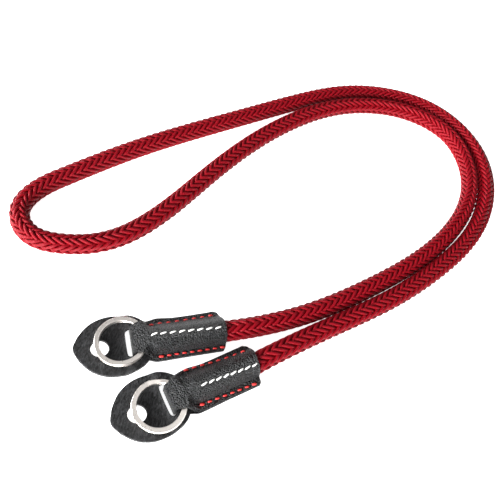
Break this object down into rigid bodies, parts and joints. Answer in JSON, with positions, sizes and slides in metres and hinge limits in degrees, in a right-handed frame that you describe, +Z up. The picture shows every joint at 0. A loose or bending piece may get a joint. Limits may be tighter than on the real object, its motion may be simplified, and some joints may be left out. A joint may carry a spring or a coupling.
{
  "type": "camera neck strap",
  "caption": "Round braided rope neck strap for a camera, with a sewn leather tab, a split ring and a leather ring pad at each end, lying in a long loop.",
  "frame": {"origin": "on the ground, at the middle of the box round the two leather ends with their rings, without the rope", "axes": "+Z up from the ground that the strap lies on; +Y from the leather ends towards the far bend of the rope; +X to the right as the picture shows it"},
  "size_m": [0.2085, 0.2296, 0.0096],
  "materials": {
    "rope": "matt deep red braid",
    "tab_leather": "black grained, soft sheen",
    "pad_leather": "black grained, matt",
    "ring_metal": "satin nickel plate"
  },
  "bodies": {
    "strap": {"rope": "rope", "end_tab_a": "tab_leather", "end_tab_b": "tab_leather", "ring_pad_a": "pad_leather", "ring_pad_b": "pad_leather"},
    "ring_a": {"split_ring_a": "ring_metal"},
    "ring_b": {"split_ring_b": "ring_metal"}
  },
  "joints": [
    {"name": "ring_a_turn", "type": "hinge", "parent": "strap", "child": "ring_a", "pos_m": [-0.02024, 0.00285, 0.00402], "axis": [-0.0992, -0.0561, 0.9935], "continuous": true},
    {"name": "ring_b_turn", "type": "hinge", "parent": "strap", "child": "ring_b", "pos_m": [0.00234, -0.01596, 0.00402], "axis": [-0.0834, -0.0778, 0.9935], "continuous": true}
  ]
}
